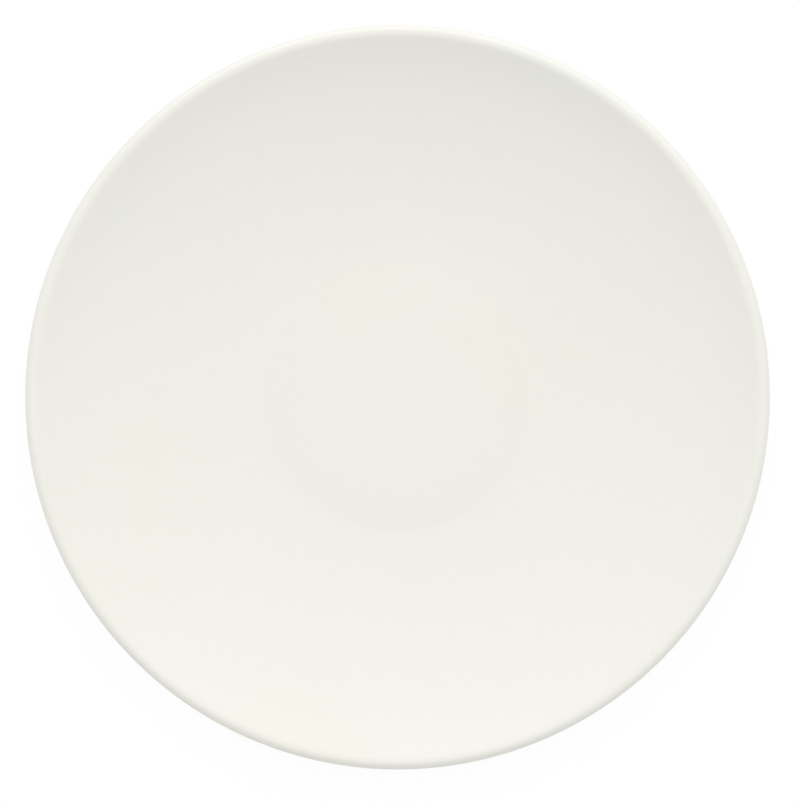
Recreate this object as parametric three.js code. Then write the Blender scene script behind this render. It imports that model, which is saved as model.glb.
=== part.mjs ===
// Coupe bread plate: a round plate with no separate rim, pressed with its foot ring in one piece and glazed.
// Millimetres, +Z up. The origin is the middle of the foot ring, on the surface that the plate stands on.
// All sizes are those of the finished, glazed plate. The clay lies one glaze thickness under that surface.
import * as THREE from "three";

// The whole plate
const PLATE_DIAMETER = 165;
const PLATE_HEIGHT = 16;

// The well: a flat middle that falls slightly towards the hollow round its edge
const WELL_FLAT_DIAMETER = 36;
const WELL_FALL_WIDTH = 11.2;
const WELL_FALL_ANGLE = 1.8;
const WELL_EDGE_RADIUS = 25;

// The flank from the well up to the lip: gentle at first, and steeper from a bend on.
// The bend is placed by its share of the flank's width and of its height.
const FLANK_START_ANGLE = 2.2;
const FLANK_BEND_WIDTH_SHARE = 0.74;
const FLANK_BEND_HEIGHT_SHARE = 0.55;

// The lip: a soft shoulder on the inner side of its highest point, and a tighter edge on the outer side
const LIP_SHOULDER_RADIUS = 3;
const LIP_EDGE_RADIUS = 1.75;

// The base, and the wall up to the flank's bend, from where it narrows to the lip
const BASE_THICKNESS = 4.2;

// The foot ring: its sides lean in towards the edge that it stands on, and its corners are ground off
const FOOT_DIAMETER = 94;
const FOOT_WIDTH = 3.6;
const FOOT_OUTSIDE_DRAFT = 15;
const FOOT_INSIDE_DRAFT = 20;
const FOOT_OUTSIDE_FILLET = 2;
const FOOT_INSIDE_FILLET = 1.2;
const FOOT_BEVEL = 0.5;
const RECESS_DEPTH = 2.4;

// The glaze, wiped off the foot ring before firing up to a narrow bare band above its bevels
const GLAZE_THICKNESS = 0.2;
const BARE_BAND_HEIGHT = 0.4;

// Fineness of the surfaces
const STEPS_ROUND_PLATE = 60;
const STEPS = { fillet: 3, back: 3, lipEdge: 8, lipShoulder: 3, rise: 4, flank: 5, wellEdge: 2, wellFall: 2 };

// Directions in the outline, which lies in the plane of radius (x) and height (y)
const UP = Math.PI / 2;
const DOWN = -Math.PI / 2;
const INWARDS = Math.PI;

const wellFall = THREE.MathUtils.degToRad(WELL_FALL_ANGLE);
const flankStart = THREE.MathUtils.degToRad(FLANK_START_ANGLE);
const outsideDraft = THREE.MathUtils.degToRad(FOOT_OUTSIDE_DRAFT);
const insideDraft = THREE.MathUtils.degToRad(FOOT_INSIDE_DRAFT);

const plateRadius = PLATE_DIAMETER / 2;
const wellFlatRadius = WELL_FLAT_DIAMETER / 2;
const footOutsideRadius = FOOT_DIAMETER / 2;
const footInsideRadius = footOutsideRadius - FOOT_WIDTH;
const faceTop = RECESS_DEPTH + BASE_THICKNESS;
const glazeStop = FOOT_BEVEL + BARE_BAND_HEIGHT;

// The point at a distance and a direction from another
function pointAt(from, distance, direction) {
  const step = new THREE.Vector2(Math.cos(direction), Math.sin(direction));
  return from.clone().addScaledVector(step, distance);
}

// The direction from one point to another
function directionTo(from, to) {
  return Math.atan2(to.y - from.y, to.x - from.x);
}

// A round stretch of the outline as a function of the depth under the finished surface.
// Where the surface is hollow the clay lies outside the circle, and elsewhere inside it.
function roundStretch({ centre, radius, from, to, steps, hollow }) {
  return (depth) => {
    const radiusThere = hollow ? radius + depth : radius - depth;
    return Array.from({ length: steps + 1 }, (_, i) =>
      pointAt(centre, radiusThere, THREE.MathUtils.lerp(from, to, i / steps)),
    );
  };
}

// The arc that leaves a point at a slope and runs smoothly into a circle.
// The circle's radius is positive where the two touch from outside, and negative from inside.
function arcInto({ from, slope, circleCentre, circleRadius }) {
  const up = pointAt(new THREE.Vector2(), 1, UP + slope);
  const apart = from.clone().sub(circleCentre);
  const radius = (apart.lengthSq() - circleRadius ** 2) / (2 * (circleRadius - apart.dot(up)));
  const centre = from.clone().addScaledVector(up, radius);
  return { centre, radius, end: directionTo(centre, circleCentre) };
}

// The first point on the way from a start in a direction that lies within a distance of a centre
function firstPointWithin({ from, direction, centre, distance }) {
  const apart = from.clone().sub(centre);
  const along = apart.dot(pointAt(new THREE.Vector2(), 1, direction));
  const way = -along - Math.sqrt(along ** 2 - apart.lengthSq() + distance ** 2);
  return pointAt(from, way, direction);
}

// Lip: at its highest point the shoulder's circle hands over to the edge's circle
const lipTop = new THREE.Vector2(plateRadius - LIP_EDGE_RADIUS, PLATE_HEIGHT);
const shoulderCentre = pointAt(lipTop, LIP_SHOULDER_RADIUS, DOWN);
const edgeCentre = pointAt(lipTop, LIP_EDGE_RADIUS, DOWN);

// Well: it falls from the flat on a wide arc, and a hollow arc turns it up into the flank
const wellFallRadius = WELL_FALL_WIDTH / Math.sin(wellFall);
const wellFallCentre = new THREE.Vector2(wellFlatRadius, faceTop - wellFallRadius);
const wellLowPoint = pointAt(wellFallCentre, wellFallRadius, UP - wellFall);
const wellEdgeCentre = pointAt(wellLowPoint, WELL_EDGE_RADIUS, UP - wellFall);

// Flank: a gentle arc from the well to the bend, and a tighter one that runs into the lip's shoulder
const flankFirstPoint = pointAt(wellEdgeCentre, WELL_EDGE_RADIUS, DOWN + flankStart);
const bendPoint = new THREE.Vector2(
  THREE.MathUtils.lerp(flankFirstPoint.x, lipTop.x, FLANK_BEND_WIDTH_SHARE),
  THREE.MathUtils.lerp(flankFirstPoint.y, lipTop.y, FLANK_BEND_HEIGHT_SHARE),
);
const bendSlope = 2 * directionTo(flankFirstPoint, bendPoint) - flankStart;
const flankRadius = (bendPoint.x - flankFirstPoint.x) / (Math.sin(bendSlope) - Math.sin(flankStart));
const flankCentre = pointAt(flankFirstPoint, flankRadius, UP + flankStart);
const flankRise = arcInto({
  from: bendPoint,
  slope: bendSlope,
  circleCentre: shoulderCentre,
  circleRadius: LIP_SHOULDER_RADIUS,
});

// Back: it runs under the flank at the base's thickness as far as the bend, and then into the lip's edge
const backRadius = flankRadius + BASE_THICKNESS;
const backRise = arcInto({
  from: pointAt(flankCentre, backRadius, DOWN + bendSlope),
  slope: bendSlope,
  circleCentre: edgeCentre,
  circleRadius: -LIP_EDGE_RADIUS,
});

// Foot ring outside: a fillet from its leaning side to the back, as far as the glazed side has room.
// The fillet's centre lies one radius out from the side, and as far out from the back's circle.
const backSlopeAtFoot = Math.asin((footOutsideRadius - flankCentre.x) / backRadius);
const backHeightAtFoot = flankCentre.y - backRadius * Math.cos(backSlopeAtFoot);
const outsideFilletRadius = Math.min(
  FOOT_OUTSIDE_FILLET,
  (backHeightAtFoot - glazeStop) / (Math.cos(backSlopeAtFoot) - Math.sin(outsideDraft)),
);
const outsideFilletCentre = firstPointWithin({
  from: new THREE.Vector2(footOutsideAt(0, -outsideFilletRadius), 0),
  direction: UP - outsideDraft,
  centre: flankCentre,
  distance: backRadius + outsideFilletRadius,
});

// Foot ring inside: a fillet from its leaning side to the flat roof of the recess, limited alike
const insideFilletRadius = Math.min(
  FOOT_INSIDE_FILLET,
  (RECESS_DEPTH - glazeStop) / (1 - Math.sin(insideDraft)),
);
const insideFilletHeight = RECESS_DEPTH - insideFilletRadius;
const insideFilletCentre = new THREE.Vector2(
  footInsideAt(insideFilletHeight, -insideFilletRadius),
  insideFilletHeight,
);

const insideFillet = roundStretch({
  centre: insideFilletCentre,
  radius: insideFilletRadius,
  from: UP,
  to: insideDraft,
  steps: STEPS.fillet,
  hollow: true,
});

// The round stretches from the foot ring out along the back, over the lip and in along the face
const outsideStretches = [
  roundStretch({
    centre: outsideFilletCentre,
    radius: outsideFilletRadius,
    from: INWARDS - outsideDraft,
    to: directionTo(outsideFilletCentre, flankCentre),
    steps: STEPS.fillet,
    hollow: true,
  }),
  roundStretch({
    centre: flankCentre,
    radius: backRadius,
    from: directionTo(flankCentre, outsideFilletCentre),
    to: DOWN + bendSlope,
    steps: STEPS.back,
    hollow: false,
  }),
  roundStretch({
    centre: backRise.centre,
    radius: backRise.radius,
    from: DOWN + bendSlope,
    to: backRise.end,
    steps: STEPS.rise,
    hollow: false,
  }),
  roundStretch({
    centre: edgeCentre,
    radius: LIP_EDGE_RADIUS,
    from: backRise.end,
    to: UP,
    steps: STEPS.lipEdge,
    hollow: false,
  }),
  roundStretch({
    centre: shoulderCentre,
    radius: LIP_SHOULDER_RADIUS,
    from: UP,
    to: flankRise.end + Math.PI,
    steps: STEPS.lipShoulder,
    hollow: false,
  }),
  roundStretch({
    centre: flankRise.centre,
    radius: flankRise.radius,
    from: flankRise.end,
    to: DOWN + bendSlope,
    steps: STEPS.rise,
    hollow: true,
  }),
  roundStretch({
    centre: flankCentre,
    radius: flankRadius,
    from: DOWN + bendSlope,
    to: DOWN + flankStart,
    steps: STEPS.flank,
    hollow: true,
  }),
  roundStretch({
    centre: wellEdgeCentre,
    radius: WELL_EDGE_RADIUS,
    from: DOWN + flankStart,
    to: DOWN - wellFall,
    steps: STEPS.wellEdge,
    hollow: true,
  }),
  roundStretch({
    centre: wellFallCentre,
    radius: wellFallRadius,
    from: UP - wellFall,
    to: UP,
    steps: STEPS.wellFall,
    hollow: false,
  }),
];

// Radius of each side of the foot ring at a height, and at a depth under the finished surface
function footOutsideAt(height, depth) {
  return footOutsideRadius + height * Math.tan(outsideDraft) - depth / Math.cos(outsideDraft);
}

function footInsideAt(height, depth) {
  return footInsideRadius - height * Math.tan(insideDraft) + depth / Math.cos(insideDraft);
}

// The outline inside the foot ring, from the middle of the recess to where the glaze stops
function recessLine(depth) {
  return [
    new THREE.Vector2(0, RECESS_DEPTH + depth),
    ...insideFillet(depth),
    new THREE.Vector2(footInsideAt(glazeStop, depth), glazeStop),
  ];
}

// The outline outside the foot ring, from where the glaze stops, round the lip, to the middle of the face.
// Neighbouring stretches share a point, so each one leaves its last point to the next.
function outsideLine(depth) {
  return [
    new THREE.Vector2(footOutsideAt(glazeStop, depth), glazeStop),
    ...outsideStretches.flatMap((stretch) => stretch(depth).slice(0, -1)),
    new THREE.Vector2(wellFlatRadius, faceTop - depth),
    new THREE.Vector2(0, faceTop - depth),
  ];
}

// The bare foot: two ground bevels and the flat edge that the plate stands on
const insideBevelTop = footInsideAt(FOOT_BEVEL, GLAZE_THICKNESS);
const outsideBevelTop = footOutsideAt(FOOT_BEVEL, GLAZE_THICKNESS);
const standingEdge = [
  new THREE.Vector2(insideBevelTop, FOOT_BEVEL),
  new THREE.Vector2(insideBevelTop + FOOT_BEVEL, 0),
  new THREE.Vector2(outsideBevelTop - FOOT_BEVEL, 0),
  new THREE.Vector2(outsideBevelTop, FOOT_BEVEL),
];

// A piece turned from its outline about the plate's upright axis
function turnedPiece(name, outline, material) {
  const geometry = new THREE.LatheGeometry(outline, STEPS_ROUND_PLATE).rotateX(UP);
  const piece = new THREE.Mesh(geometry, material);
  piece.name = name;
  return piece;
}

const biscuit = new THREE.MeshStandardMaterial({ color: 0xe6e1d2, roughness: 0.75, metalness: 0 });
const ivoryGlaze = new THREE.MeshStandardMaterial({ color: 0xeeefe7, roughness: 0.12, metalness: 0 });

const clayRecess = recessLine(GLAZE_THICKNESS);
const clayOutside = outsideLine(GLAZE_THICKNESS);

const plate = new THREE.Group();
plate.add(
  turnedPiece("fired_body", [...clayRecess, ...standingEdge, ...clayOutside], biscuit),
  turnedPiece("outer_glaze", [...clayOutside.toReversed(), ...outsideLine(0)], ivoryGlaze),
  turnedPiece("recess_glaze", [...recessLine(0), ...clayRecess.toReversed()], ivoryGlaze),
);

export default plate;
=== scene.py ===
import math

import bmesh
import bpy
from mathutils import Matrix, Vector


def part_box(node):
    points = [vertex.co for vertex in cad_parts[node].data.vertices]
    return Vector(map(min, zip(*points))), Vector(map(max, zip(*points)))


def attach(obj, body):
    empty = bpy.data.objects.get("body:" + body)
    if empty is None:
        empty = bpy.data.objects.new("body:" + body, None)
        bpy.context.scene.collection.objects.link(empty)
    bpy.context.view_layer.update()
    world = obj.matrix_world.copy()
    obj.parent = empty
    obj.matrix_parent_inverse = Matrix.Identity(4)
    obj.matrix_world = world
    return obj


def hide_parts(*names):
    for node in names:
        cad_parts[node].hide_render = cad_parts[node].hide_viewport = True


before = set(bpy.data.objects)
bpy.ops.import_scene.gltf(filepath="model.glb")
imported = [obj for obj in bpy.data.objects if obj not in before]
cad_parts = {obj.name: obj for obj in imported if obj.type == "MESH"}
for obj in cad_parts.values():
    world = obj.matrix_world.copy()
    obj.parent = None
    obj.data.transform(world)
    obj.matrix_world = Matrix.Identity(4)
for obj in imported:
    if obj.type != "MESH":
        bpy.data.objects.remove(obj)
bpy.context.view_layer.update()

# Plate body
# White clay pressed between two dies, foot ring and all, and fired hard. The glaze covers all of it but
# the edge that it stands on, which was wiped bare so as not to stick in the kiln, and then ground smooth.
MM = 0.001
UP = math.pi / 2
DOWN = -math.pi / 2
INWARDS = math.pi

outer_glaze_low, outer_glaze_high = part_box("outer_glaze")
recess_glaze_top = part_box("recess_glaze")[1].z
clay_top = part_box("fired_body")[1].z
plate_radius = outer_glaze_high.x
plate_height = outer_glaze_high.z
glaze_thickness = plate_height - clay_top
glaze_line = outer_glaze_low.z
recess_depth = recess_glaze_top - glaze_thickness

base_thickness = 4.2 * MM
face_height = recess_depth + base_thickness
well_flat_radius = 18 * MM
well_fall_width = 11.2 * MM
well_fall = math.radians(1.8)
well_edge_radius = 25 * MM
flank_start = math.radians(2.2)
flank_bend_width_share = 0.74
flank_bend_height_share = 0.55
lip_shoulder_radius = 3 * MM
lip_edge_radius = 1.75 * MM
foot_radius = 47 * MM
foot_width = 3.6 * MM
foot_outside_draft = math.radians(15)
foot_inside_draft = math.radians(20)
foot_outside_fillet = 2 * MM
foot_inside_fillet = 1.2 * MM
foot_edge_radius = 0.6 * MM


def point_at(start, distance, direction):
    """The point at a distance and a direction from another, in the plane of radius and height."""
    return start + distance * Vector((math.cos(direction), math.sin(direction)))


def direction_to(start, end):
    """The direction from one point to another."""
    return math.atan2(end.y - start.y, end.x - start.x)


def arc(centre, radius, start, end, longest_step=2 * MM, widest_turn=math.radians(6)):
    """The points of a round stretch, close enough together to look round, without its last point."""
    turn = abs(end - start)
    steps = math.ceil(max(turn / widest_turn, turn * radius / longest_step))
    return [point_at(centre, radius, start + (end - start) * i / steps) for i in range(steps)]


def arc_into(first, slope, circle_centre, circle_radius):
    """Centre and radius of the arc that leaves a point at a slope and runs smoothly into a circle.

    The circle's radius is positive where the two touch from outside, and negative from inside."""
    up = point_at(Vector((0, 0)), 1, UP + slope)
    apart = first - circle_centre
    radius = (apart.length_squared - circle_radius**2) / (2 * (circle_radius - apart.dot(up)))
    return first + radius * up, radius


def first_point_within(start, direction, centre, distance):
    """The first point on the way from a start in a direction that lies within a distance of a centre."""
    apart = start - centre
    along = apart.dot(point_at(Vector((0, 0)), 1, direction))
    way = -along - math.sqrt(along**2 - apart.length_squared + distance**2)
    return point_at(start, way, direction)


def foot_outside_at(height, depth):
    """Radius of the foot's outer side at a height, and at a depth under the finished surface."""
    return foot_radius + height * math.tan(foot_outside_draft) - depth / math.cos(foot_outside_draft)


def foot_inside_at(height, depth):
    """Radius of the foot's inner side at a height, and at a depth under the finished surface."""
    lean = height * math.tan(foot_inside_draft)
    return foot_radius - foot_width - lean + depth / math.cos(foot_inside_draft)


# The lip's two circles, and the well with the hollow that turns it up into the flank
lip_top = Vector((plate_radius - lip_edge_radius, plate_height))
edge_centre = point_at(lip_top, lip_edge_radius, DOWN)
shoulder_centre = point_at(lip_top, lip_shoulder_radius, DOWN)
well_fall_radius = well_fall_width / math.sin(well_fall)
well_fall_centre = Vector((well_flat_radius, face_height - well_fall_radius))
well_low_point = point_at(well_fall_centre, well_fall_radius, UP - well_fall)
well_edge_centre = point_at(well_low_point, well_edge_radius, UP - well_fall)

# The flank: a gentle arc to a point part of the way up, and a tighter one that runs smoothly into the lip
flank_first = point_at(well_edge_centre, well_edge_radius, DOWN + flank_start)
to_lip = lip_top - flank_first
to_bend = Vector((to_lip.x * flank_bend_width_share, to_lip.y * flank_bend_height_share))
flank_bend = 2 * math.atan2(to_bend.y, to_bend.x) - flank_start
flank_radius = to_bend.x / (math.sin(flank_bend) - math.sin(flank_start))
flank_centre = point_at(flank_first, flank_radius, UP + flank_start)
rise_first = flank_first + to_bend
rise_centre, rise_radius = arc_into(rise_first, flank_bend, shoulder_centre, lip_shoulder_radius)
rise_end = direction_to(rise_centre, shoulder_centre)

# The back: one base thickness under the flank as far as its bend, and from there closing in on the lip
back_radius = flank_radius + base_thickness
back_bend = point_at(flank_centre, back_radius, DOWN + flank_bend)
back_rise_centre, back_rise_radius = arc_into(back_bend, flank_bend, edge_centre, -lip_edge_radius)
back_rise_end = direction_to(back_rise_centre, edge_centre)

# The foot's fillets: outside from its leaning side to the back, inside to the flat roof of the recess
outside_fillet_centre = first_point_within(
    Vector((foot_outside_at(0, -foot_outside_fillet), 0)),
    UP - foot_outside_draft,
    flank_centre,
    back_radius + foot_outside_fillet,
)
outside_fillet_end = direction_to(outside_fillet_centre, flank_centre)
back_start = direction_to(flank_centre, outside_fillet_centre)
inside_fillet_height = recess_depth - foot_inside_fillet
inside_fillet_centre = Vector((
    foot_inside_at(inside_fillet_height, -foot_inside_fillet),
    inside_fillet_height,
))


def recess_line(depth):
    """The outline from the middle of the recess to the glaze line inside the foot."""
    return [
        Vector((0, recess_depth + depth)),
        *arc(inside_fillet_centre, foot_inside_fillet + depth, UP, foot_inside_draft),
        point_at(inside_fillet_centre, foot_inside_fillet + depth, foot_inside_draft),
        Vector((foot_inside_at(glaze_line, depth), glaze_line)),
    ]


def outside_line(depth):
    """The outline from the glaze line outside the foot, round the lip, to the middle of the face."""
    return [
        Vector((foot_outside_at(glaze_line, depth), glaze_line)),
        *arc(
            outside_fillet_centre,
            foot_outside_fillet + depth,
            INWARDS - foot_outside_draft,
            outside_fillet_end,
        ),
        *arc(flank_centre, back_radius - depth, back_start, DOWN + flank_bend),
        *arc(back_rise_centre, back_rise_radius - depth, DOWN + flank_bend, back_rise_end),
        *arc(edge_centre, lip_edge_radius - depth, back_rise_end, UP),
        *arc(shoulder_centre, lip_shoulder_radius - depth, UP, rise_end + math.pi),
        *arc(rise_centre, rise_radius + depth, rise_end, DOWN + flank_bend),
        *arc(flank_centre, flank_radius + depth, DOWN + flank_bend, DOWN + flank_start),
        *arc(
            well_edge_centre,
            well_edge_radius + depth,
            DOWN + flank_start,
            DOWN - well_fall,
            longest_step=0.4 * MM,
        ),
        *arc(well_fall_centre, well_fall_radius - depth, UP - well_fall, UP),
        Vector((well_flat_radius, face_height - depth)),
        Vector((0, face_height - depth)),
    ]


def standing_edge():
    """The bare edge of the foot, from its inner side, over two ground corners, to its outer side."""
    depth = glaze_thickness + foot_edge_radius
    inner = Vector((foot_inside_at(foot_edge_radius, depth), foot_edge_radius))
    outer = Vector((foot_outside_at(foot_edge_radius, depth), foot_edge_radius))
    return [
        *arc(inner, foot_edge_radius, INWARDS + foot_inside_draft, INWARDS + UP),
        point_at(inner, foot_edge_radius, DOWN),
        *arc(outer, foot_edge_radius, DOWN, -foot_outside_draft),
        point_at(outer, foot_edge_radius, -foot_outside_draft),
    ]


def socket(sockets, key):
    """A node's socket by its identifier or, failing that, by its name."""
    return next((s for s in sockets if s.identifier == key), None) or sockets[key]


def add_node(tree, kind, inputs=None, **settings):
    """A new node, with its settings and its inputs: each a value, or an output to link to."""
    node = tree.nodes.new(kind)
    for name, value in settings.items():
        setattr(node, name, value)
    for key, value in (inputs or {}).items():
        if isinstance(value, bpy.types.NodeSocket):
            tree.links.new(value, socket(node.inputs, key))
        else:
            socket(node.inputs, key).default_value = value
    return node


def make_group(kind, name, inputs, outputs):
    """A node group with its sockets, and the outputs of the node that hands it what it is given."""
    group = bpy.data.node_groups.new(name, kind)
    for way, sockets in (("INPUT", inputs), ("OUTPUT", outputs)):
        for title, carries in sockets.items():
            group.interface.new_socket(title, in_out=way, socket_type="NodeSocket" + carries)
    return group, add_node(group, "NodeGroupInput").outputs


def times(tree, first, second):
    """One number times another."""
    return add_node(tree, "ShaderNodeMath", {0: first, 1: second}, operation="MULTIPLY").outputs["Value"]


def remap(tree, value, start, end, first=0.0, last=1.0):
    """A number that runs smoothly from first to last while a value runs from start to end."""
    return add_node(tree, "ShaderNodeMapRange", {
        "Value": value,
        "From Min": start,
        "From Max": end,
        "To Min": first,
        "To Max": last,
    }, interpolation_type="SMOOTHSTEP").outputs["Result"]


def levelled(tree, place):
    """A place with its height taken away."""
    level = add_node(tree, "ShaderNodeVectorMath", {0: place, 1: (1, 1, 0)}, operation="MULTIPLY")
    return level.outputs["Vector"]


def make_wheel():
    """Nodes that turn an outline about the plate's axis and let its glaze line wander up and down."""
    wheel, given = make_group(
        "GeometryNodeTree",
        "potters_wheel",
        {
            "Outline": "Geometry",
            "Wheel Radius": "Float",
            "Steps Round": "Int",
            "Line Height": "Float",
            "Line Reach": "Float",
            "Line Wander": "Float",
            "Line Waves": "Float",
            "Seed": "Float",
            "Finish": "Material",
        },
        {"Piece": "Geometry"},
    )

    # The outline goes round a circle whose normals point straight out, so its X runs along the radius
    circle = add_node(wheel, "GeometryNodeCurvePrimitiveCircle", {
        "Resolution": given["Steps Round"],
        "Radius": given["Wheel Radius"],
    })
    path = add_node(wheel, "GeometryNodeSetCurveNormal", {"Curve": circle.outputs["Curve"]}, mode="Z_UP")
    turned = add_node(wheel, "GeometryNodeCurveToMesh", {
        "Curve": path.outputs["Curve"],
        "Profile Curve": given["Outline"],
    })
    closed = add_node(wheel, "GeometryNodeMergeByDistance", {
        "Geometry": turned.outputs["Mesh"],
        "Distance": 0.002 * MM,
    })

    # The glaze line is wiped by hand: noise round the plate lifts and drops it, fading out above it
    place = add_node(wheel, "GeometryNodeInputPosition").outputs["Position"]
    height = add_node(wheel, "ShaderNodeSeparateXYZ", {"Vector": place}).outputs["Z"]
    fade_end = add_node(wheel, "ShaderNodeMath", {0: given["Line Height"], 1: given["Line Reach"]})
    near_line = remap(wheel, height, given["Line Height"], fade_end.outputs["Value"], 1.0, 0.0)
    outwards = add_node(wheel, "ShaderNodeVectorMath", {0: levelled(wheel, place)}, operation="NORMALIZE")
    wobble = add_node(wheel, "ShaderNodeTexNoise", {
        "Vector": outwards.outputs["Vector"],
        "W": given["Seed"],
        "Scale": given["Line Waves"],
        "Detail": 1.0,
    }, noise_dimensions="4D")
    up_or_down = add_node(wheel, "ShaderNodeMapRange", {
        "Value": wobble.outputs["Fac"],
        "From Min": 0.25,
        "From Max": 0.75,
        "To Min": -1.0,
        "To Max": 1.0,
    })
    rise = times(wheel, times(wheel, near_line, up_or_down.outputs["Result"]), given["Line Wander"])
    wiped = add_node(wheel, "GeometryNodeSetPosition", {
        "Geometry": closed.outputs["Geometry"],
        "Offset": add_node(wheel, "ShaderNodeCombineXYZ", {"Z": rise}).outputs["Vector"],
    })

    smooth = add_node(wheel, "GeometryNodeSetShadeSmooth", {"Geometry": wiped.outputs["Geometry"]})
    real = add_node(wheel, "GeometryNodeRealizeInstances", {"Geometry": smooth.outputs["Geometry"]})
    finished = add_node(wheel, "GeometryNodeSetMaterial", {
        "Geometry": real.outputs["Geometry"],
        "Material": given["Finish"],
    })
    add_node(wheel, "NodeGroupOutput", {"Piece": finished.outputs["Geometry"]})
    return wheel


wheel = make_wheel()
steps_round = 256
line_reach = 1.2 * MM
line_waves = 3.0


def turned_piece(name, outline, finish, line_wander=0.0, seed=0.0):
    """A piece turned from its outline, as a plain mesh with its faces outwards."""
    curve = bpy.data.curves.new(name + "_outline", "CURVE")
    curve.dimensions = "3D"
    spline = curve.splines.new("POLY")
    spline.points.add(len(outline) - 1)
    # On the wheel the outline's X counts outwards from the plate's edge, and its Y counts downwards
    for point, place in zip(spline.points, outline):
        point.co = (place.x - plate_radius, -place.y, 0, 1)
    blank = bpy.data.objects.new(name + "_outline", curve)
    bpy.context.scene.collection.objects.link(blank)
    turning = blank.modifiers.new("turning", "NODES")
    turning.node_group = wheel
    given = {
        "Wheel Radius": plate_radius,
        "Steps Round": steps_round,
        "Line Height": glaze_line,
        "Line Reach": line_reach,
        "Line Wander": line_wander,
        "Line Waves": line_waves,
        "Seed": seed,
        "Finish": finish,
    }
    for item in wheel.interface.items_tree:
        if item.name in given:
            turning[item.identifier] = given[item.name]
    depsgraph = bpy.context.evaluated_depsgraph_get()
    mesh = bpy.data.meshes.new_from_object(blank.evaluated_get(depsgraph))
    bpy.data.objects.remove(blank)

    shell = bmesh.new()
    shell.from_mesh(mesh)
    bmesh.ops.recalc_face_normals(shell, faces=shell.faces)
    shell.to_mesh(mesh)
    shell.free()
    mesh.name = name
    piece = bpy.data.objects.new(name, mesh)
    bpy.context.scene.collection.objects.link(piece)
    return piece


def noise(tree, place, feature_size, detail=1.0):
    """Soft noise whose lumps are about as large as the feature size."""
    return add_node(tree, "ShaderNodeTexNoise", {
        "Vector": place,
        "Scale": 1 / feature_size,
        "Detail": detail,
    }).outputs["Fac"]


def patches(tree, place, feature_size, detail=1.0, start=0.3, end=0.7):
    """Soft-edged patches: 0 where the noise is below its start, and 1 where it is above its end."""
    return remap(tree, noise(tree, place, feature_size, detail), start, end)


def blend(tree, share, first, second, kind="MIX"):
    """The first colour, with the second in its place, or by kind over it, as far as the share says."""
    mix = add_node(tree, "ShaderNodeMix", {
        "Factor_Float": share,
        "A_Color": first,
        "B_Color": second,
    }, data_type="RGBA", blend_type=kind)
    return socket(mix.outputs, "Result_Color")


def tinted(tree, colour, tint, share, strength=1.0):
    """A colour with a tint over it, as far as the tint's share at a place and its strength say."""
    return blend(tree, times(tree, share, strength), colour, tint, "MULTIPLY")


# Where a point lies on the plate: how far from its axis, and how high
turned_place, given = make_group(
    "ShaderNodeTree",
    "turned_place",
    {"Place": "Vector"},
    {"Radius": "Float", "Height": "Float"},
)
flat_place = levelled(turned_place, given["Place"])
from_axis = add_node(turned_place, "ShaderNodeVectorMath", {0: flat_place}, operation="LENGTH")
split_place = add_node(turned_place, "ShaderNodeSeparateXYZ", {"Vector": given["Place"]})
add_node(turned_place, "NodeGroupOutput", {
    "Radius": from_axis.outputs["Value"],
    "Height": split_place.outputs["Z"],
})

# Specks of grit: round spots of many sizes, in a share of the cells of a loose lattice
specks, given = make_group(
    "ShaderNodeTree",
    "specks",
    {"Place": "Vector", "Spacing": "Float", "Size": "Float", "Share": "Float"},
    {"Speck": "Float"},
)
density = add_node(specks, "ShaderNodeMath", {0: 1.0, 1: given["Spacing"]}, operation="DIVIDE")
cells = add_node(specks, "ShaderNodeTexVoronoi", {
    "Vector": given["Place"],
    "Scale": density.outputs["Value"],
})
chance = add_node(specks, "ShaderNodeSeparateColor", {"Color": cells.outputs["Color"]}).outputs
from_cell_point = times(specks, cells.outputs["Distance"], given["Spacing"])
spot_size = times(specks, chance["Green"], given["Size"])
spot = remap(specks, from_cell_point, times(specks, spot_size, 0.5), spot_size, 1.0, 0.0)
chosen = add_node(specks, "ShaderNodeMath", {0: chance["Red"], 1: given["Share"]}, operation="LESS_THAN")
add_node(specks, "NodeGroupOutput", {"Speck": times(specks, spot, chosen.outputs["Value"])})


def speckle(tree, place, spacing, size, share):
    """Specks in a material: 1 inside a speck and 0 elsewhere."""
    return add_node(tree, "ShaderNodeGroup", {
        "Place": place,
        "Spacing": spacing,
        "Size": size,
        "Share": share,
    }, node_tree=specks).outputs["Speck"]


def make_material(name):
    """A material, its node tree and shader, and the place on the piece with its radius and height."""
    material = bpy.data.materials.new(name)
    material.use_nodes = True
    tree = material.node_tree
    shader = tree.nodes["Principled BSDF"]
    place = add_node(tree, "ShaderNodeTexCoord").outputs["Object"]
    turned = add_node(tree, "ShaderNodeGroup", {"Place": place}, node_tree=turned_place).outputs
    return material, tree, shader, place, turned["Radius"], turned["Height"]


# The clay is a fine pale grain, a little greyer in patches, with specks of darker grit
dark_grain = (0.72, 0.68, 0.575, 1)
pale_grain = (0.84, 0.80, 0.70, 1)
grain_size = 0.4 * MM
grain_depth = 0.03 * MM
grey_patch_tint = (0.93, 0.92, 0.90, 1)
grey_patch_size = 7 * MM
grit_tint = (0.55, 0.45, 0.36, 1)
grit_spacing = 1.6 * MM
grit_size = 0.16 * MM
biscuit, tree, shader, place, radius, height = make_material("biscuit")
grain = noise(tree, place, grain_size, detail=3.0)
clay = blend(tree, remap(tree, grain, 0.3, 0.7), dark_grain, pale_grain)
grey_patches = patches(tree, place, grey_patch_size, detail=2.0, start=0.35)
clay = tinted(tree, clay, grey_patch_tint, grey_patches, strength=0.5)
grit = speckle(tree, place, grit_spacing, grit_size, share=0.5)
clay = tinted(tree, clay, grit_tint, grit, strength=0.6)

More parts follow.
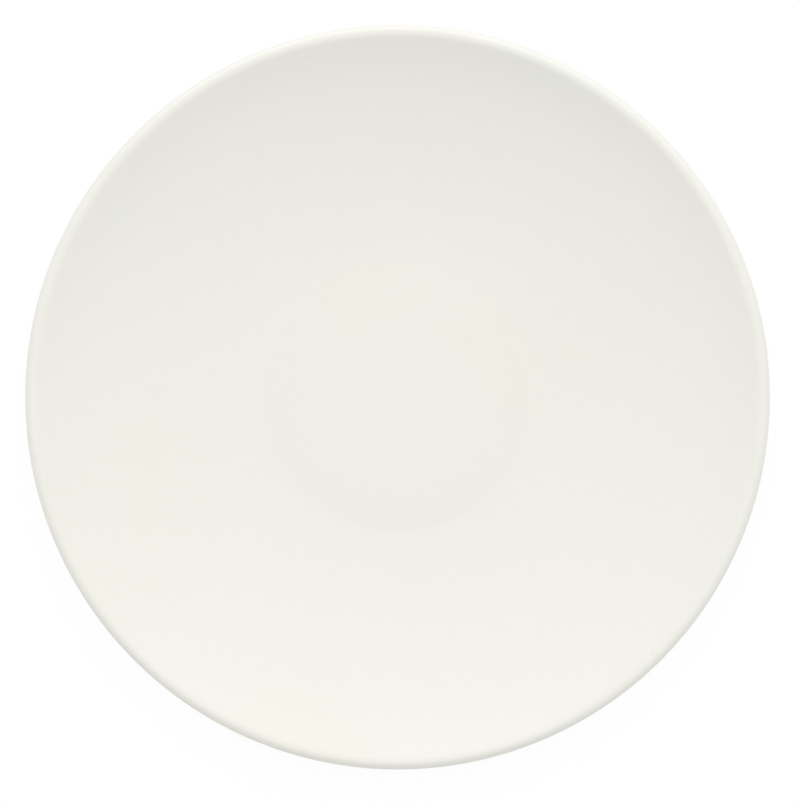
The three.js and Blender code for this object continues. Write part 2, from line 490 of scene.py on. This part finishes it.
# The edge that it stands on is ground in circles, and greyed and polished by the tables it has stood on
full_wear_height = 0.04 * MM
wear_end_height = 0.3 * MM
scuff_tint = (0.80, 0.80, 0.79, 1)
scuff_size = 3 * MM
grinding_mark_width = 0.14 * MM
grinding_mark_depth = 0.03 * MM
fired_roughness = 0.78
polished_roughness = 0.5
ground = remap(tree, height, full_wear_height, wear_end_height, 1.0, 0.0)
rings = add_node(tree, "ShaderNodeTexNoise", {
    "W": radius,
    "Scale": 1 / grinding_mark_width,
    "Detail": 2.0,
}, noise_dimensions="1D").outputs["Fac"]
scuffed_spots = patches(tree, place, scuff_size, detail=3.0, start=0.35, end=0.65)
scuffs = times(tree, scuffed_spots, remap(tree, rings, 0.35, 0.65))
clay = tinted(tree, clay, scuff_tint, times(tree, ground, scuffs))
tree.links.new(clay, shader.inputs["Base Color"])
polish = times(tree, ground, remap(tree, scuffs, 0.0, 1.0, 0.6, 1.0))
roughness = remap(tree, polish, 0.0, 1.0, fired_roughness, polished_roughness)
tree.links.new(roughness, shader.inputs["Roughness"])
tooth = add_node(tree, "ShaderNodeBump", {"Height": grain, "Strength": 0.4, "Distance": grain_depth})
marks = add_node(tree, "ShaderNodeBump", {
    "Height": times(tree, ground, rings),
    "Strength": 0.5,
    "Distance": grinding_mark_depth,
    "Normal": tooth.outputs["Normal"],
})
tree.links.new(marks.outputs["Normal"], shader.inputs["Normal"])

clay_outline = [*recess_line(glaze_thickness), *standing_edge(), *outside_line(glaze_thickness)]
body = turned_piece("plate_body", clay_outline, biscuit)
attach(body, "root")
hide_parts("fired_body")

# Outer glaze
# An ivory glass fired onto the clay in one coat over the face, the lip, the back and the foot's outer
# side. It ends in a soft round line just above the foot's edge, where it was wiped off before firing.
ivory, tree, shader, place, radius, height = make_material("ivory_glaze")
shader.inputs["IOR"].default_value = 1.5

# Its tone drifts a little from warm to cool over the plate, and is faintly mottled
warm_ivory = (0.867, 0.862, 0.792, 1)
cool_ivory = (0.863, 0.862, 0.804, 1)
tone_drift_size = 75 * MM
mottle_tint = (0.994, 0.994, 0.992, 1)
mottle_size = 2.5 * MM
tone = blend(tree, patches(tree, place, tone_drift_size), warm_ivory, cool_ivory)
tone = tinted(tree, tone, mottle_tint, patches(tree, place, mottle_size, detail=3.0))

# It lies thicker in the hollows along the foot ring, and a ring round the edge of the well is a touch
# darker.
# Out to just past the foot, a point's height tells whether it is on the face or on the underside.
side_margin = 1.5 * MM
face_side = remap(tree, height, recess_depth + side_margin, face_height - side_margin)
under_side = remap(tree, face_side, 0.0, 1.0, 1.0, 0.0)

# A ring round the edge of the well is made a touch darker in tone
well_ring_tint = (0.994, 0.995, 0.992, 1)
well_ring_start = 14 * MM
well_ring_crest = well_low_point.x - 0.2 * MM
out_to_well_edge = remap(tree, radius, well_ring_start, well_low_point.x)
in_to_well_edge = remap(tree, radius, well_ring_crest, flank_first.x, 1.0, 0.0)
darker_well_ring = times(tree, face_side, times(tree, out_to_well_edge, in_to_well_edge))
tone = tinted(tree, tone, well_ring_tint, darker_well_ring)

foot_pool_tint = (0.970, 0.982, 0.950, 1)
recess_pool_full = foot_inside_at(recess_depth, 0)
recess_pool_start = recess_pool_full - 3 * MM
back_pool_full = foot_outside_at(recess_depth, 0) + 0.5 * MM
back_pool_end = back_pool_full + 3.5 * MM
thin_line_width = 1 * MM
out_to_foot = remap(tree, radius, recess_pool_start, recess_pool_full)
in_to_foot = remap(tree, radius, back_pool_full, back_pool_end, 1.0, 0.0)
above_line = remap(tree, height, glaze_line, glaze_line + thin_line_width)
foot_pool = times(tree, times(tree, under_side, times(tree, out_to_foot, in_to_foot)), above_line)
tone = tinted(tree, tone, foot_pool_tint, foot_pool)

# A few specks of iron have come through it, and there is one pinhole on the inner side of the lip
iron_tint = (0.62, 0.52, 0.40, 1)
iron_spacing = 9 * MM
iron_size = 0.32 * MM
pinhole_tint = (0.91, 0.90, 0.86, 1)
pinhole_place = (56.2 * MM, -56.8 * MM, 15.9 * MM)
pinhole_core = 0.12 * MM
pinhole_radius = 0.4 * MM
iron = speckle(tree, place, iron_spacing, iron_size, share=0.4)
tone = tinted(tree, tone, iron_tint, iron, strength=0.35)
from_pinhole = add_node(tree, "ShaderNodeVectorMath", {0: place, 1: pinhole_place}, operation="DISTANCE")
pinhole = remap(tree, from_pinhole.outputs["Value"], pinhole_core, pinhole_radius, 1.0, 0.0)
tone = tinted(tree, tone, pinhole_tint, pinhole)
tree.links.new(tone, shader.inputs["Base Color"])

# It is glossy all over, a little less so in clouds, with the faint waves of glass that has flowed
least_roughness = 0.09
most_roughness = 0.15
cloud_size = 14 * MM
wave_size = 4 * MM
wave_depth = 0.01 * MM
clouds = noise(tree, place, cloud_size, detail=2.0)
roughness = remap(tree, clouds, 0.3, 0.7, least_roughness, most_roughness)
tree.links.new(roughness, shader.inputs["Roughness"])
waves = add_node(tree, "ShaderNodeBump", {
    "Height": noise(tree, place, wave_size),
    "Strength": 0.5,
    "Distance": wave_depth,
})
tree.links.new(waves.outputs["Normal"], shader.inputs["Normal"])


def rounded_end(inner_side, outer_side):
    """The round end of a coat of glaze, from its side nearer the axis, down and up to its other side."""
    middle = (inner_side + outer_side) / 2
    half = (outer_side - inner_side).length / 2
    return arc(middle, half, INWARDS, 2 * INWARDS, widest_turn=math.radians(30))[1:]


line_wander = 0.15 * MM
clay_side = outside_line(glaze_thickness)
open_side = outside_line(0)
outer_outline = [*reversed(clay_side), *rounded_end(clay_side[0], open_side[0]), *open_side]
outer_glaze = turned_piece("face_and_back_glaze", outer_outline, ivory, line_wander, seed=1.0)
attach(outer_glaze, "root")
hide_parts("outer_glaze")

# Recess glaze
# The same glass inside the foot ring, fused to the clay in the same firing. The foot's bare edge cuts it
# off from the rest of the coat.
open_side = recess_line(0)
clay_side = recess_line(glaze_thickness)
recess_outline = [*open_side, *rounded_end(open_side[-1], clay_side[-1]), *reversed(clay_side)]
recess_glaze = turned_piece("foot_recess_glaze", recess_outline, ivory, line_wander, seed=7.0)
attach(recess_glaze, "root")
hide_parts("recess_glaze")

# Floor
# A plain white sweep that the plate stands on. To the camera, and in reflections, it is mostly white
# paper under its own light, so that it stays white and only a little of the plate's shadow shows on it.
# Under the plate, from its edge in to the foot, more and more of the shadow shows.
floor_radius = 12.0
open_floor_whiteness = 0.85
covered_floor_whiteness = 0.15
paper_glow = 1.06
paper_colour = (0.8, 0.8, 0.8, 1)
white = (1, 1, 1, 1)
sheet = bmesh.new()
bmesh.ops.create_circle(sheet, cap_ends=True, segments=64, radius=floor_radius)
floor_mesh = bpy.data.meshes.new("floor")
sheet.to_mesh(floor_mesh)
sheet.free()
floor = bpy.data.objects.new("floor", floor_mesh)
bpy.context.scene.collection.objects.link(floor)


def seen_directly(tree):
    """1 for rays from the camera, straight or by way of a reflection or glass, and 0 for all others."""
    path = add_node(tree, "ShaderNodeLightPath").outputs
    seen = path["Is Camera Ray"]
    for kind in ("Is Glossy Ray", "Is Transmission Ray"):
        either = add_node(tree, "ShaderNodeMath", {0: seen, 1: path[kind]}, operation="MAXIMUM")
        seen = either.outputs["Value"]
    return seen


paper, tree, shader, _, radius, _ = make_material("white_sweep")
tree.nodes.remove(shader)
whiteness = remap(tree, radius, foot_radius, plate_radius, covered_floor_whiteness, open_floor_whiteness)
lit_paper = add_node(tree, "ShaderNodeBsdfDiffuse", {"Color": paper_colour})
white_paper = add_node(tree, "ShaderNodeEmission", {"Color": white, "Strength": paper_glow})
mixed = add_node(tree, "ShaderNodeMixShader", {
    "Fac": times(tree, seen_directly(tree), whiteness),
    1: lit_paper.outputs["BSDF"],
    2: white_paper.outputs["Emission"],
})
tree.links.new(mixed.outputs["Shader"], tree.nodes["Material Output"].inputs["Surface"])
floor_mesh.materials.append(paper)

# Light
# A white room all round gives most of the light. A wide soft box low behind the plate brightens the side
# of the dish that faces it and leaves a bright line along the far lip.
dim_side_light = (0.03, 0.02, 0.0, 1)
bright_side_light = (1.118, 1.118, 1.128, 1)
brightest_side = Vector((0.04, 0.44, 0.93))
world = bpy.data.worlds.new("white_room")
world.use_nodes = True
bpy.context.scene.world = world
tree = world.node_tree
direction = add_node(tree, "ShaderNodeTexCoord").outputs["Generated"]
towards_light = add_node(
    tree,
    "ShaderNodeVectorMath",
    {0: direction, 1: brightest_side},
    operation="DOT_PRODUCT",
)
bright_share = add_node(tree, "ShaderNodeMapRange", {
    "Value": towards_light.outputs["Value"],
    "From Min": -1.0,
})
room = blend(tree, bright_share.outputs["Result"], dim_side_light, bright_side_light)
room_as_seen = blend(tree, seen_directly(tree), room, white)
tree.links.new(room_as_seen, tree.nodes["Background"].inputs["Color"])
tree.nodes["Background"].inputs["Strength"].default_value = 1.0

soft_box = bpy.data.lights.new("soft_box", "AREA")
soft_box.shape = "RECTANGLE"
soft_box.size = 8.0
soft_box.size_y = 2.0
soft_box.energy = 47.0
soft_box_distance = 4.0
soft_box_height = math.radians(26)
soft_box_turn = math.radians(5)
towards_soft_box = Vector((
    math.sin(soft_box_turn) * math.cos(soft_box_height),
    math.cos(soft_box_turn) * math.cos(soft_box_height),
    math.sin(soft_box_height),
))
lamp = bpy.data.objects.new("soft_box", soft_box)
lamp.location = soft_box_distance * towards_soft_box
lamp.rotation_euler = towards_soft_box.to_track_quat("Z", "Y").to_euler()
lamp.visible_camera = False
bpy.context.scene.collection.objects.link(lamp)

# Camera
# Straight above the plate with a long lens, set a hair to the right and below so that the plate sits in
# the picture where the photograph has it.
picture_height_px = 803
plate_radius_px = 372.4
plate_right_px = -2.4
plate_up_px = 4.4
lens_mm = 150
sensor_mm = 36
lip_height = edge_centre.y
focal_px = lens_mm / sensor_mm * picture_height_px
metres_per_px = plate_radius / plate_radius_px
camera_data = bpy.data.cameras.new("overhead")
camera_data.lens = lens_mm
camera_data.sensor_width = sensor_mm
camera = bpy.data.objects.new("overhead", camera_data)
camera.location = (
    -plate_right_px * metres_per_px,
    -plate_up_px * metres_per_px,
    lip_height + focal_px * metres_per_px,
)
bpy.context.scene.collection.objects.link(camera)
bpy.context.scene.camera = camera

bpy.context.scene.view_settings.view_transform = "Standard"
